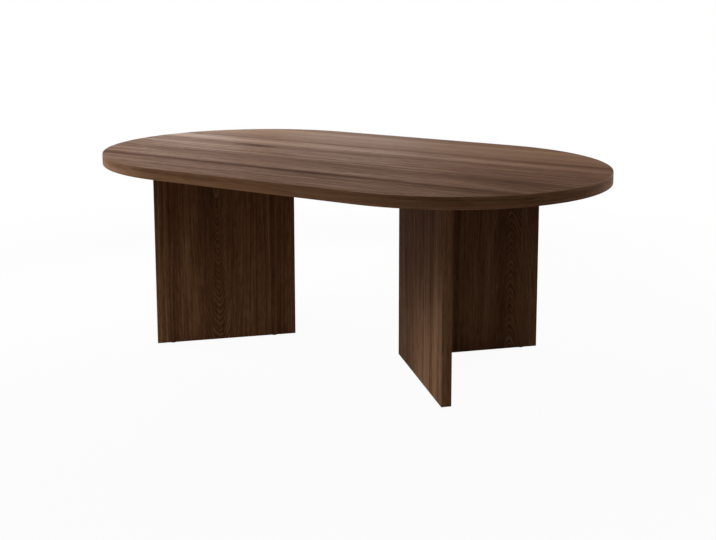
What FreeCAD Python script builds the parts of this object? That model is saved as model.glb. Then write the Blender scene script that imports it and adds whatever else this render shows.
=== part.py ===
import FreeCAD, Part
import os
import re

import Sketcher

# A low table: a racetrack top of veneered board on two V-shaped legs. Each leg is two upright panels
# mitred together, with its corner towards the middle of the table and its mouth towards the end.
# Millimetres, +Z up, +X along the table. The origin is on the floor under the middle of the top.

# Every size that can be set by itself: name, value, meaning
SIZES = [
    # Whole table
    ("table_length", 1100, "over the two rounded ends"),
    ("table_width", 650, "over the two straight sides"),
    ("table_height", 400, "floor to the face of the top"),
    # Boards and their skins
    ("top_thickness", 22, "finished tabletop"),
    ("panel_thickness", 19, "finished leg panel"),
    ("face_veneer", 0.6, "veneer on each face of a board"),
    ("edge_band", 1.0, "band on the tabletop's edge and on a panel's free edge"),
    ("top_arris", 0.8, "rounding along the tabletop's edge"),
    ("panel_arris", 0.5, "easing along a panel's upright edges"),
    ("band_land", 0.1, "least flat left on a band beside its rounding"),
    # Legs
    ("leg_corner", 128.7, "middle of the table to a leg's outer corner"),
    ("arm_length", 292.3, "a leg's outer corner to a panel's free edge"),
    ("opening_angle", 90, "between a leg's two panels, in degrees"),
    # Biscuits across the mitre
    ("biscuit_length", 47, "along the mitre"),
    ("biscuit_width", 15, "across the mitre"),
    ("biscuit_thickness", 4, "pressed beech"),
    ("biscuit_inset", 17, "a leg's outer corner to the biscuits"),
    ("biscuit_margin", 55, "a panel's end to the nearest biscuit's middle"),
    ("biscuit_count", 4, "in each mitre"),
    ("slot_side_gap", 0.1, "beside each face of a biscuit"),
    ("slot_edge_gap", 0.8, "round the rim of a biscuit"),
    # Folded steel angle inside the V, under the top
    ("bracket_length", 140, "along the panel"),
    ("bracket_height", 36, "flange on the panel"),
    ("bracket_depth", 36, "flange under the top"),
    ("bracket_steel", 3, "sheet thickness"),
    ("bracket_bend", 1.5, "inside radius of the fold"),
    ("bracket_corner", 6, "rounding of the flanges' free corners"),
    # Wood screws from a bracket into its panel
    ("screws_per_bracket", 3, "in a row"),
    ("screw_diameter", 4, "over the thread"),
    ("screw_length", 14, "under the head"),
    ("screw_point", 4, "length of the taper"),
    ("screw_head", 8, "diameter"),
    ("screw_head_height", 2.6, "pan head"),
    ("screw_crown", 1.1, "slope round the head"),
    ("screw_margin", 18, "bracket's end to the nearest screw"),
    ("screw_drop", 20, "underside of the top to the screws"),
    ("screw_hole", 4.5, "diameter of the holes in the bracket"),
    # Bolts from a bracket up into the top
    ("bolts_per_bracket", 2, "in a row"),
    ("bolt_diameter", 6, "over the thread"),
    ("bolt_length", 16, "under the head"),
    ("bolt_head", 10.5, "diameter"),
    ("bolt_head_height", 3.3, "button head"),
    ("bolt_crown", 1.6, "slope round the head"),
    ("bolt_margin", 30, "bracket's end to the nearest bolt"),
    ("bolt_setback", 20, "face of the panel to the bolts"),
    ("bolt_slot_width", 6.6, "slot in the bracket"),
    ("bolt_slot_length", 12, "slot in the bracket, end to end"),
    ("washer_diameter", 18, "covers the slot"),
    ("washer_thickness", 1.6, "pressed steel"),
    ("washer_bore", 6.4, "diameter"),
    ("insert_diameter", 10, "threaded insert in the top"),
    ("insert_length", 13, "threaded insert in the top"),
    # Glides under the panels
    ("glides_per_panel", 2, "in a row"),
    ("glide_diameter", 14, "pad on the floor"),
    ("glide_height", 2, "floor to the panel"),
    ("glide_edge", 0.7, "slope round the pad"),
    ("glide_shank", 6, "diameter of the stem pushed into the panel"),
    ("glide_shank_length", 14, "stem above the pad"),
    ("glide_from_corner", 45, "a leg's outer corner to the first glide"),
    ("glide_from_end", 32, "a panel's free edge to the last glide"),
    # Room in the holes
    ("thread_gap", 0.05, "round a screw, bolt, insert or stem in its hole"),
    ("hole_end_gap", 1.0, "past the end of an insert or stem"),
]

# Places worked out from the sizes. A leg panel is laid out with x along its outer face from the leg's
# outer corner, y through the panel towards the inside of the V, and z up from the floor.
UNDERSIDE = "(table_height - top_thickness)"
PANEL_HEIGHT = f"({UNDERSIDE} - glide_height)"
HALF_ANGLE = "(opening_angle / 2)"
MITRE_SLOPE = f"tan({HALF_ANGLE})"
BAND_START = "(arm_length - edge_band)"
CORE_BACK = "(panel_thickness - face_veneer)"
BRACKET_MIDDLE = f"((arm_length + panel_thickness / {MITRE_SLOPE}) / 2)"
BRACKET_START = f"({BRACKET_MIDDLE} - bracket_length / 2)"
BRACKET_FACE = "(panel_thickness + bracket_steel)"
BRACKET_UNDER = f"({UNDERSIDE} - bracket_steel)"
SCREW_ROW = "(bracket_length - 2 * screw_margin)"
BOLT_ROW = "(bracket_length - 2 * bolt_margin)"
GLIDE_ROW = "(arm_length - glide_from_corner - glide_from_end)"

# First piece of each row: x, y and z of a screw and a glide, x and y of a bolt
SCREW_PLACE = (f"{BRACKET_START} + screw_margin", BRACKET_FACE, f"{UNDERSIDE} - screw_drop")
BOLT_LINE = (f"{BRACKET_START} + bolt_margin", "panel_thickness + bolt_setback")
GLIDE_PLACE = ("glide_from_corner", "panel_thickness / 2", "glide_height")

FRONT_TO_BACK = FreeCAD.Vector(0, 1, 0)
RIGHT_TO_LEFT = FreeCAD.Vector(1, 0, 0)
NEAR = 0.0001

# Sketcher's numbers for the points of a line or arc, and for the sketch's own axes
POINT = {"start": 1, "end": 2, "centre": 3}
AXIS = {"across": -1, "up": -2}

doc = FreeCAD.newDocument("coffee_table")
sheet = doc.addObject("Spreadsheet::Sheet", "Sizes")
for number, (alias, size, meaning) in enumerate(SIZES, start=1):
    sheet.set(f"A{number}", meaning)
    sheet.set(f"B{number}", str(size))
    sheet.setAlias(f"B{number}", alias)
doc.recompute()
ALIASES = {alias for alias, size, meaning in SIZES}
nodes = []


# Formulas

def celled(formula):
    """The formula with each size's name turned into a reference to its cell."""
    def cell(word):
        return f"Sizes.{word[0]}" if word[0] in ALIASES else word[0]
    return re.sub(r"[a-z_]+", cell, formula)


def value(formula):
    return float(sheet.evalExpression(celled(formula)))


def bind(thing, property_name, formula):
    thing.setExpression(property_name, celled(formula))


# Sketches

def origin_part(body, role):
    return next(part for part in body.Origin.OriginFeatures if part.Role == role)


def sketch_on(body, name, role, x="0", y="0", z="0"):
    """A sketch parallel to one of the body's own planes, with its zero at x, y, z of the body."""
    offsets = {
        "XY_Plane": (x, y, z),
        "XZ_Plane": (x, z, f"-({y})"),
        "YZ_Plane": (y, z, x),
    }
    sketch = body.newObject("Sketcher::SketchObject", name)
    sketch.AttachmentSupport = (origin_part(body, role), [""])
    sketch.MapMode = "FlatFace"
    for axis, formula in zip("xyz", offsets[role]):
        bind(sketch, f"AttachmentOffset.Base.{axis}", formula)
    return sketch


def dimension(sketch, kind, *arguments, formula):
    """A dimension of the sketch that follows the formula."""
    number = sketch.addConstraint(Sketcher.Constraint(kind, *arguments, value(formula)))
    bind(sketch, f"Constraints[{number}]", formula)


def join(sketch, kind, before, before_point, after, after_point):
    sketch.addConstraint(Sketcher.Constraint(kind, before, POINT[before_point], after, POINT[after_point]))


def on_axis(sketch, side, point, axis):
    sketch.addConstraint(Sketcher.Constraint("PointOnObject", side, POINT[point], AXIS[axis]))


def outline(sketch, corners):
    """A closed outline of straight sides. Each corner is a pair of formulas."""
    points = [(value(across), value(up)) for across, up in corners]
    sides = len(points)
    for side in range(sides):
        line(sketch, points[side], points[(side + 1) % sides])
    for side, (across, up) in enumerate(corners):
        join(sketch, "Coincident", side, "end", (side + 1) % sides, "start")
        for kind, axis, formula in (("DistanceX", "up", across), ("DistanceY", "across", up)):
            if formula == "0":
                on_axis(sketch, side, "start", axis)
            else:
                dimension(sketch, kind, side, POINT["start"], formula=formula)


def line(sketch, first, last):
    return sketch.addGeometry(Part.LineSegment(FreeCAD.Vector(*first), FreeCAD.Vector(*last)))


def arc(sketch, first, middle, last):
    """An arc through three points, taken anticlockwise."""
    return sketch.addGeometry(Part.Arc(*(FreeCAD.Vector(*point) for point in (first, middle, last))))


def racetrack(sketch, length, width):
    """Two straight sides joined by half circles, centred on the sketch's zero."""
    reach = f"(({length}) - ({width})) / 2"
    radius = f"({width}) / 2"
    far, side = value(reach), value(radius)
    right = arc(sketch, (far, -side), (far + side, 0), (far, side))
    upper = line(sketch, (far, side), (-far, side))
    left = arc(sketch, (-far, side), (-far - side, 0), (-far, -side))
    lower = line(sketch, (-far, -side), (far, -side))
    for before, after in ((right, upper), (upper, left), (left, lower), (lower, right)):
        join(sketch, "Tangent", before, "end", after, "start")
    sketch.addConstraint(Sketcher.Constraint("Equal", right, left))
    for end, formula in ((right, reach), (left, f"-({reach})")):
        on_axis(sketch, end, "centre", "across")
        dimension(sketch, "DistanceX", end, POINT["centre"], formula=formula)
    dimension(sketch, "Radius", right, formula=radius)


def lens(sketch, length, width):
    """Two equal arcs that meet in points above and below the sketch's zero."""
    far, side = value(f"({length}) / 2"), value(f"({width}) / 2")
    right = arc(sketch, (0, -far), (side, 0), (0, far))
    left = arc(sketch, (0, far), (-side, 0), (0, -far))
    join(sketch, "Coincident", right, "end", left, "start")
    join(sketch, "Coincident", left, "end", right, "start")
    on_axis(sketch, right, "start", "up")
    on_axis(sketch, right, "end", "up")
    on_axis(sketch, right, "centre", "across")
    sketch.addConstraint(Sketcher.Constraint("Equal", right, left))
    dimension(sketch, "Radius", right, formula=f"(({length}) ^ 2 + ({width}) ^ 2) / (4 * ({width}))")
    dimension(sketch, "DistanceY", right, POINT["start"], right, POINT["end"], formula=length)


# Features

def new_body(label):
    body = doc.addObject("PartDesign::Body", label)
    body.Label = label
    return body


def pad(body, sketch, length, both_ways=False):
    feature = body.newObject("PartDesign::Pad", f"{sketch.Name}_pad")
    feature.Profile = sketch
    feature.SideType = "Symmetric" if both_ways else "One side"
    bind(feature, "Length", length)
    doc.recompute()
    return feature


def row(body, feature, axis, length, count):
    """Copies of a feature, spread evenly over a length."""
    pattern = body.newObject("PartDesign::LinearPattern", f"{feature.Name}_row")
    pattern.Originals = [feature]
    pattern.Direction = (origin_part(body, axis), [""])
    bind(pattern, "Length", length)
    bind(pattern, "Occurrences", count)
    body.Tip = pattern
    doc.recompute()
    return pattern


def hole_row(body, sketch, length, count):
    """The sketched hole, cut right through and repeated along the panel."""
    uncut = body.Shape.Volume
    pocket = body.newObject("PartDesign::Pocket", f"{sketch.Name}_pocket")
    pocket.Profile = sketch
    pocket.Type = "ThroughAll"
    row(body, pocket, "X_Axis", length, count)
    if body.Shape.Volume >= uncut:
        raise RuntimeError(f"{sketch.Name} cuts nothing")


def rounded(body, feature, radius, wanted):
    """Rounds the feature's edges whose two end points are the wanted ones."""
    names = []
    for number, edge in enumerate(feature.Shape.Edges, start=1):
        if wanted(edge.Vertexes[0].Point, edge.Vertexes[-1].Point):
            names.append(f"Edge{number}")
    fillet = body.newObject("PartDesign::Fillet", f"{feature.Name}_round")
    fillet.Base = (feature, names)
    bind(fillet, "Radius", radius)
    doc.recompute()
    return fillet


def same(first, second):
    return abs(first - second) < NEAR


def on_arm(body):
    """Stands the body in the right leg's front panel."""
    bind(body, "Placement.Base.x", "leg_corner")
    bind(body, "Placement.Rotation.Angle", f"-{HALF_ANGLE}")


def turned_row(label, role, place, half_section, length, count):
    """Turned pieces in a row along the front panel, each from half of its section beside its axis."""
    body = new_body(label)
    sketch = sketch_on(body, f"{label}_section", role, *place)
    outline(sketch, half_section)
    turned = body.newObject("PartDesign::Revolution", f"{label}_turned")
    turned.Profile = sketch
    turned.ReferenceAxis = (sketch, ["V_Axis"])
    doc.recompute()
    row(body, turned, "X_Axis", length, count)
    on_arm(body)
    return body


# Copies, cuts and finished nodes

def mirrored(source, label, direction):
    copy = doc.addObject("Part::Mirroring", label)
    copy.Label = label
    copy.Source = source
    copy.Normal = direction
    return copy


def together(label, pieces):
    group = doc.addObject("Part::Compound", label)
    group.Label = label
    group.Links = pieces
    return group


def cut(label, board, tools):
    result = doc.addObject("Part::Cut", label)
    result.Label = label
    result.Base = board
    result.Tool = together(f"{label}_cutters", tools)
    doc.recompute()
    if result.Shape.Volume >= board.Shape.Volume:
        raise RuntimeError(f"{label} is not cut")
    return result


def node(piece, label):
    piece.Label = label
    nodes.append(piece)


def panel_nodes(piece, name):
    """The front right piece and its copies on the other three panels."""
    back = mirrored(piece, f"right_leg_back_{name}", FRONT_TO_BACK)
    node(piece, f"right_leg_front_{name}")
    node(back, f"right_leg_back_{name}")
    for side, source in (("front", piece), ("back", back)):
        node(mirrored(source, f"left_leg_{side}_{name}", RIGHT_TO_LEFT), f"left_leg_{side}_{name}")


def both_panels(pieces, name):
    """The front right panel's row of pieces and the same on the back panel, as one group."""
    return together(f"right_leg_{name}", [pieces, mirrored(pieces, f"back_{name}", FRONT_TO_BACK)])


def leg_nodes(group, name):
    """The right leg's group of pieces and the same on the left leg."""
    node(group, f"right_leg_{name}")
    node(mirrored(group, f"left_leg_{name}", RIGHT_TO_LEFT), f"left_leg_{name}")


# Tabletop

def top_sheet(label, bottom, thickness):
    """A flat layer of the tabletop inside its edge band."""
    body = new_body(label)
    sketch = sketch_on(body, f"{label}_outline", "XY_Plane", z=bottom)
    racetrack(sketch, "table_length - 2 * edge_band", "table_width - 2 * edge_band")
    pad(body, sketch, thickness)
    return body


def top_band():
    """The band round the tabletop's edge, as high as the finished top, with both arrises rounded."""
    body = new_body("top_edge_band")
    sketch = sketch_on(body, "top_edge_band_outline", "XY_Plane", z=UNDERSIDE)
    racetrack(sketch, "table_length", "table_width")
    racetrack(sketch, "table_length - 2 * edge_band", "table_width - 2 * edge_band")
    side = value("table_width / 2")

    def outer_arris(first, last):
        level = same(first.z, last.z)
        return level and same(abs(first.y), side) and same(abs(last.y), side)

    rounded(body, pad(body, sketch, "top_thickness"), "min(top_arris; edge_band - band_land)", outer_arris)
    return body


def tabletop():
    right = both_panels(insert_bores(), "insert_bores")
    left = mirrored(right, "left_leg_insert_bores", RIGHT_TO_LEFT)
    core = top_sheet("top_core_board", f"{UNDERSIDE} + face_veneer", "top_thickness - 2 * face_veneer")
    underside = top_sheet("top_underside_sheet", UNDERSIDE, "face_veneer")
    node(cut("top_core", core, [right, left]), "top_core")
    node(top_sheet("top_face_veneer", "table_height - face_veneer", "face_veneer"), "top_face_veneer")
    node(cut("top_underside_veneer", underside, [right, left]), "top_underside_veneer")
    node(top_band(), "top_edge_band")


# Leg panels

def panel_layer(label, corners):
    """An upright layer of the right leg's front panel, from its section on the floor."""
    body = new_body(label)
    sketch = sketch_on(body, f"{label}_section", "XY_Plane", z="glide_height")
    outline(sketch, corners)
    feature = pad(body, sketch, PANEL_HEIGHT)
    on_arm(body)
    return body, feature


def panel_core():
    return panel_layer("panel_board", [
        (f"face_veneer / {MITRE_SLOPE}", "face_veneer"),
        (BAND_START, "face_veneer"),
        (BAND_START, CORE_BACK),
        (f"{CORE_BACK} / {MITRE_SLOPE}", CORE_BACK)])[0]


def outer_veneer():
    """The sheet outside the V. At the leg's corner it is mitred, with half of the eased arris."""
    return panel_layer("panel_outer_sheet", [
        ("panel_arris", "0"),
        (BAND_START, "0"),
        (BAND_START, "face_veneer"),
        (f"face_veneer / {MITRE_SLOPE}", "face_veneer"),
        (f"panel_arris * cos({HALF_ANGLE}) ^ 2", f"panel_arris * cos({HALF_ANGLE}) * sin({HALF_ANGLE})")])[0]


def inner_veneer():
    return panel_layer("panel_inner_sheet", [
        (f"{CORE_BACK} / {MITRE_SLOPE}", CORE_BACK),
        (BAND_START, CORE_BACK),
        (BAND_START, "panel_thickness"),
        (f"panel_thickness / {MITRE_SLOPE}", "panel_thickness")])[0]


def end_band():
    body, feature = panel_layer("panel_end_band", [
        (BAND_START, "0"),
        ("arm_length", "0"),
        ("arm_length", "panel_thickness"),
        (BAND_START, "panel_thickness")])
    free_edge = value("arm_length")

    def upright_arris(first, last):
        return same(first.x, free_edge) and same(last.x, free_edge) and same(first.y, last.y)

    rounded(body, feature, "min(panel_arris; edge_band - band_land)", upright_arris)
    return body


def biscuits(label, length, width, thickness):
    """Lens-shaped pieces one above the other across the right leg's mitre, half in each panel."""
    body = new_body(label)
    sketch = sketch_on(
        body, f"{label}_outline", "YZ_Plane",
        x="leg_corner + biscuit_inset", z="glide_height + biscuit_margin")
    lens(sketch, length, width)
    feature = pad(body, sketch, thickness, both_ways=True)
    row(body, feature, "Z_Axis", f"{PANEL_HEIGHT} - 2 * biscuit_margin", "biscuit_count")
    return body


# Brackets

def bracket():
    """A folded angle with slots under the top, for adjustment, and round holes on the panel."""
    body = new_body("bracket")
    section = sketch_on(body, "bracket_section", "YZ_Plane", x=BRACKET_START)
    outline(section, [
        ("panel_thickness", f"{UNDERSIDE} - bracket_height"),
        (BRACKET_FACE, f"{UNDERSIDE} - bracket_height"),
        (BRACKET_FACE, BRACKET_UNDER),
        ("panel_thickness + bracket_depth", BRACKET_UNDER),
        ("panel_thickness + bracket_depth", UNDERSIDE),
        ("panel_thickness", UNDERSIDE)])
    panel_face, under_top = value("panel_thickness"), value(UNDERSIDE)
    fold_face, fold_under = value(BRACKET_FACE), value(BRACKET_UNDER)
    lower_end, inner_end = value(f"{UNDERSIDE} - bracket_height"), value("panel_thickness + bracket_depth")

    def inside_fold(first, last):
        return all(same(point.y, fold_face) and same(point.z, fold_under) for point in (first, last))

    def outside_fold(first, last):
        return all(same(point.y, panel_face) and same(point.z, under_top) for point in (first, last))

    def free_corner(first, last):
        on_lower_end = same(first.z, lower_end) and same(last.z, lower_end)
        on_inner_end = same(first.y, inner_end) and same(last.y, inner_end)
        return same(first.x, last.x) and (on_lower_end or on_inner_end)

    folded = rounded(body, pad(body, section, "bracket_length"), "bracket_bend", inside_fold)
    folded = rounded(body, folded, "bracket_bend + bracket_steel", outside_fold)
    rounded(body, folded, "bracket_corner", free_corner)

    slot = sketch_on(body, "bracket_slot", "XY_Plane", *BOLT_LINE, UNDERSIDE)
    racetrack(slot, "bolt_slot_length", "bolt_slot_width")
    hole_row(body, slot, BOLT_ROW, "bolts_per_bracket")

    hole = sketch_on(
        body, "bracket_hole", "XZ_Plane",
        x=f"{BRACKET_START} + screw_margin", y="panel_thickness", z=f"{UNDERSIDE} - screw_drop")
    hole.addGeometry(Part.Circle(FreeCAD.Vector(), FreeCAD.Vector(0, 0, 1), value("screw_hole / 2")))
    on_axis(hole, 0, "centre", "across")
    on_axis(hole, 0, "centre", "up")
    dimension(hole, "Diameter", 0, formula="screw_hole")
    hole_row(body, hole, SCREW_ROW, "screws_per_bracket")
    on_arm(body)
    return body


# Fasteners and glides

def bracket_screws():
    """Pan-head wood screws. The section's zero is under the head, on the bracket."""
    return turned_row("screw_row", "XY_Plane", SCREW_PLACE, [
        ("0", "-screw_length"),
        ("screw_diameter / 2", "screw_point - screw_length"),
        ("screw_diameter / 2", "0"),
        ("screw_head / 2", "0"),
        ("screw_head / 2", "screw_head_height - screw_crown"),
        ("screw_head / 2 - screw_crown", "screw_head_height"),
        ("0", "screw_head_height")], SCREW_ROW, "screws_per_bracket")


def screw_bores():
    return turned_row("screw_bores", "XY_Plane", SCREW_PLACE, [
        ("0", "-screw_length - thread_gap"),
        ("screw_diameter / 2 + thread_gap", "screw_point - screw_length - thread_gap"),
        ("screw_diameter / 2 + thread_gap", "0"),
        ("0", "0")], SCREW_ROW, "screws_per_bracket")


def top_bolts():
    """Button-head bolts. The section's zero is under the head, on the washer."""
    return turned_row("bolt_row", "XZ_Plane", (*BOLT_LINE, f"{BRACKET_UNDER} - washer_thickness"), [
        ("0", "-bolt_head_height"),
        ("bolt_head / 2 - bolt_crown", "-bolt_head_height"),
        ("bolt_head / 2", "bolt_crown - bolt_head_height"),
        ("bolt_head / 2", "0"),
        ("bolt_diameter / 2", "0"),
        ("bolt_diameter / 2", "bolt_length"),
        ("0", "bolt_length")], BOLT_ROW, "bolts_per_bracket")


def washers():
    return turned_row("washer_row", "XZ_Plane", (*BOLT_LINE, BRACKET_UNDER), [
        ("washer_bore / 2", "-washer_thickness"),
        ("washer_diameter / 2", "-washer_thickness"),
        ("washer_diameter / 2", "0"),
        ("washer_bore / 2", "0")], BOLT_ROW, "bolts_per_bracket")


def inserts():
    """Threaded inserts, flush with the underside of the top."""
    return turned_row("insert_row", "XZ_Plane", (*BOLT_LINE, UNDERSIDE), [
        ("bolt_diameter / 2 + thread_gap", "0"),
        ("insert_diameter / 2", "0"),
        ("insert_diameter / 2", "insert_length"),
        ("bolt_diameter / 2 + thread_gap", "insert_length")], BOLT_ROW, "bolts_per_bracket")


def insert_bores():
    return turned_row("insert_bores", "XZ_Plane", (*BOLT_LINE, UNDERSIDE), [
        ("0", "0"),
        ("insert_diameter / 2 + thread_gap", "0"),
        ("insert_diameter / 2 + thread_gap", "insert_length + hole_end_gap"),
        ("0", "insert_length + hole_end_gap")], BOLT_ROW, "bolts_per_bracket")


def glides():
    """Nylon glides. The section's zero is on the panel's lower end."""
    return turned_row("glide_row", "XZ_Plane", GLIDE_PLACE, [
        ("0", "-glide_height"),
        ("glide_diameter / 2 - glide_edge", "-glide_height"),
        ("glide_diameter / 2", "glide_edge - glide_height"),
        ("glide_diameter / 2", "0"),
        ("glide_shank / 2", "0"),
        ("glide_shank / 2", "glide_shank_length"),
        ("0", "glide_shank_length")], GLIDE_ROW, "glides_per_panel")


def glide_bores():
    return turned_row("glide_bores", "XZ_Plane", GLIDE_PLACE, [
        ("0", "0"),
        ("glide_shank / 2 + thread_gap", "0"),
        ("glide_shank / 2 + thread_gap", "glide_shank_length + hole_end_gap"),
        ("0", "glide_shank_length + hole_end_gap")], GLIDE_ROW, "glides_per_panel")


# Legs

def legs():
    slots = biscuits(
        "biscuit_slots", "biscuit_length + 2 * slot_edge_gap", "biscuit_width + 2 * slot_edge_gap",
        "biscuit_thickness + 2 * slot_side_gap")
    bores = screw_bores()
    panel_nodes(cut("right_leg_front_core", panel_core(), [slots, bores, glide_bores()]), "core")
    panel_nodes(outer_veneer(), "outer_veneer")
    panel_nodes(cut("right_leg_front_inner_veneer", inner_veneer(), [bores]), "inner_veneer")
    panel_nodes(end_band(), "end_band")
    panel_nodes(bracket(), "bracket")
    wood = biscuits("right_leg_biscuits", "biscuit_length", "biscuit_width", "biscuit_thickness")
    leg_nodes(wood, "biscuits")
    leg_nodes(both_panels(bracket_screws(), "bracket_screws"), "bracket_screws")
    leg_nodes(both_panels(top_bolts(), "top_bolts"), "top_bolts")
    leg_nodes(both_panels(washers(), "washers"), "washers")
    leg_nodes(both_panels(inserts(), "inserts"), "inserts")
    leg_nodes(both_panels(glides(), "glides"), "glides")


# Build, check and write

tabletop()
legs()
doc.recompute()
for thing in doc.Objects:
    if "Invalid" in thing.State or "Error" in thing.State:
        raise RuntimeError(f"{thing.Label} failed: {thing.State}")
for piece in nodes:
    if piece.Shape.isNull() or not piece.Shape.isValid():
        raise RuntimeError(f"{piece.Label} has no valid shape")
os.makedirs("parts", exist_ok=True)
for piece in nodes:
    piece.Shape.exportStep(f"parts/{piece.Label}.step")
    print(f"{piece.Label}: {len(piece.Shape.Solids)} solids, {piece.Shape.Volume:.1f} mm3")
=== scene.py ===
"""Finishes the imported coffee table: walnut veneer, fittings, studio floor, light and camera."""

import math
from typing import NamedTuple

import bmesh
import bpy
from bpy.props import FloatProperty, FloatVectorProperty, IntProperty, PointerProperty
from mathutils import Matrix, Vector


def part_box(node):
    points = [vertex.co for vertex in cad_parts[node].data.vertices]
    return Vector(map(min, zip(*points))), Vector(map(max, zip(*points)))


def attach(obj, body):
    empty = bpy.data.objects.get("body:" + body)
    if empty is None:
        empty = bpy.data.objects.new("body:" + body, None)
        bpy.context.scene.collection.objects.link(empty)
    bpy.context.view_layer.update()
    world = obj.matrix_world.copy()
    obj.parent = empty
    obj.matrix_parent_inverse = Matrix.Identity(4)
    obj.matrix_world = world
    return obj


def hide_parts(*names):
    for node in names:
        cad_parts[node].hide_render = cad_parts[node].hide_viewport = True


bl_info = {
    "name": "Coffee table on V-shaped legs",
    "version": (1, 0, 0),
    "blender": (4, 5, 0),
    "location": "View3D > Sidebar > Coffee table",
    "description": "Models and finishes the pieces of a veneered coffee table around its CAD frame",
    "category": "Object",
}

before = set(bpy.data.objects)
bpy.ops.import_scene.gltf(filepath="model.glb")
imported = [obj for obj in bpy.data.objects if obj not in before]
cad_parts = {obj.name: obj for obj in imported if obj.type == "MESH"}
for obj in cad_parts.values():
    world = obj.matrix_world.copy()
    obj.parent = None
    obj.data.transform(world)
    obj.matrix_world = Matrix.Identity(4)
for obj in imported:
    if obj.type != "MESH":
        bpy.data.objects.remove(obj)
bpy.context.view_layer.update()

MM = 0.001
LEGS = {"left": -1, "right": 1}
ARMS = {"front": -1, "back": 1}
# The two panels of a leg meet in a mitre on the table's long axis, this far from the middle.
LEG_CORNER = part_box("right_leg_front_outer_veneer")[0].x


def linear(hex_colour):
    """Turns an sRGB hex colour into linear red, green and blue."""
    parts = [int(hex_colour[place : place + 2], 16) / 255 for place in (1, 3, 5)]
    return tuple(part / 12.92 if part <= 0.04045 else ((part + 0.055) / 1.055) ** 2.4 for part in parts)


class WalnutVeneer(bpy.types.PropertyGroup):
    """Colours and figure of the walnut veneer."""

    dark: FloatVectorProperty(
        name="Dark grain",
        description="Latewood lines and the darkest streaks",
        subtype="COLOR",
        min=0,
        max=1,
        default=linear("#311d0f"),
    )
    heart: FloatVectorProperty(
        name="Heart streaks",
        description="Redder brown of the dark streaks in the top",
        subtype="COLOR",
        min=0,
        max=1,
        default=linear("#3d1d08"),
    )
    middle: FloatVectorProperty(
        name="Brown",
        description="Main brown of the heartwood",
        subtype="COLOR",
        min=0,
        max=1,
        default=linear("#66432b"),
    )
    light: FloatVectorProperty(
        name="Light grain",
        description="Earlywood and the palest streaks",
        subtype="COLOR",
        min=0,
        max=1,
        default=linear("#956d4c"),
    )
    roughness: FloatProperty(
        name="Lacquer roughness",
        description="Roughness of the matt lacquer",
        subtype="FACTOR",
        min=0.2,
        max=1,
        default=0.64,
    )
    ring: FloatProperty(
        name="Growth ring",
        description="Spacing of the growth rings across the grain",
        unit="LENGTH",
        min=0.0005,
        max=0.01,
        precision=4,
        default=0.0066,
    )
    streak: FloatProperty(
        name="Streak width",
        description="Width of the broad light and dark streaks",
        unit="LENGTH",
        min=0.005,
        max=0.1,
        default=0.034,
    )


class Fittings(bpy.types.PropertyGroup):
    """Sizes and colours of the screws, bolts, inserts, washers and glides."""

    screw_head: FloatProperty(
        name="Screw head",
        description="Diameter of the pan head",
        unit="LENGTH",
        precision=4,
        default=8 * MM,
    )
    screw_length: FloatProperty(
        name="Screw length",
        description="Length under the head",
        unit="LENGTH",
        precision=4,
        default=14 * MM,
    )
    screw_pitch: FloatProperty(
        name="Screw pitch",
        description="Rise of the wood thread",
        unit="LENGTH",
        precision=4,
        default=1.8 * MM,
    )
    bolt_head: FloatProperty(
        name="Bolt head",
        description="Diameter of the button head",
        unit="LENGTH",
        precision=4,
        default=10.5 * MM,
    )
    bolt_length: FloatProperty(
        name="Bolt length",
        description="Length under the head",
        unit="LENGTH",
        precision=4,
        default=16 * MM,
    )
    bolt_pitch: FloatProperty(
        name="Bolt pitch",
        description="Rise of the machine thread",
        unit="LENGTH",
        precision=4,
        default=1 * MM,
    )
    insert_pitch: FloatProperty(
        name="Insert pitch",
        description="Rise of the insert's outer thread",
        unit="LENGTH",
        precision=4,
        default=2.6 * MM,
    )
    glide_ribs: IntProperty(
        name="Glide ribs",
        description="Barbs on the stem of a glide",
        min=1,
        max=6,
        default=4,
    )
    plating: FloatVectorProperty(
        name="Zinc plating",
        description="Colour of the plated steel",
        subtype="COLOR",
        min=0,
        max=1,
        default=linear("#c3c5c6"),
    )
    coating: FloatVectorProperty(
        name="Powder coating",
        description="Colour of the coated brackets",
        subtype="COLOR",
        min=0,
        max=1,
        default=linear("#1b1b1c"),
    )
    nylon: FloatVectorProperty(
        name="Nylon",
        description="Colour of the glides",
        subtype="COLOR",
        min=0,
        max=1,
        default=linear("#2c221b"),
    )


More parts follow.
